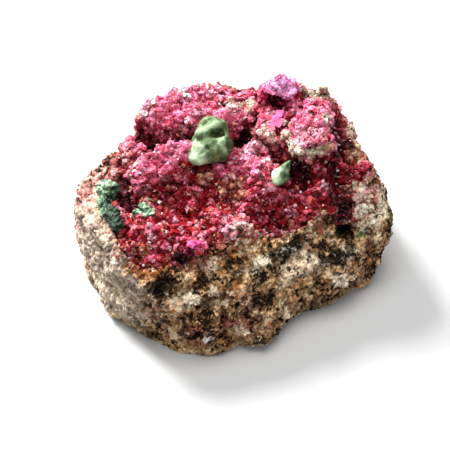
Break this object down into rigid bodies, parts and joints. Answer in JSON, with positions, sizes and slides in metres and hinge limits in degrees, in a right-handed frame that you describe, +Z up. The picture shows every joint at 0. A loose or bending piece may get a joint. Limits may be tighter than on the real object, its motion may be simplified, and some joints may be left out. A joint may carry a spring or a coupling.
{
  "type": "mineral specimen of kolwezite on salrose",
  "caption": "Rough block of host rock with a pink crystal crust on its upper face, pale green nodules and small green growths on the crust.",
  "frame": {"origin": "below the middle of the specimen's box, on the flat it rests on", "axes": "+X along the long front face, +Y to the back, where the upper face stands highest, +Z up"},
  "size_m": [0.065, 0.0506, 0.0382],
  "materials": {
    "host_rock": "rough broken carbonate rock, tan and brown grains with black specks and pale patches",
    "salrose": "glassy pink to crimson rhomb crystals, some patches pale tan",
    "kolwezite": "dull, chalky pale green, smooth and lobed",
    "malachite": "fine grained green, pale where thin and dark where deep"
  },
  "bodies": {
    "root": {"host_rock": "host_rock", "salrose_druse": "salrose", "kolwezite_nodule": "kolwezite", "kolwezite_bud": "kolwezite", "malachite_crust": "malachite", "malachite_sprig": "malachite"}
  },
  "joints": []
}
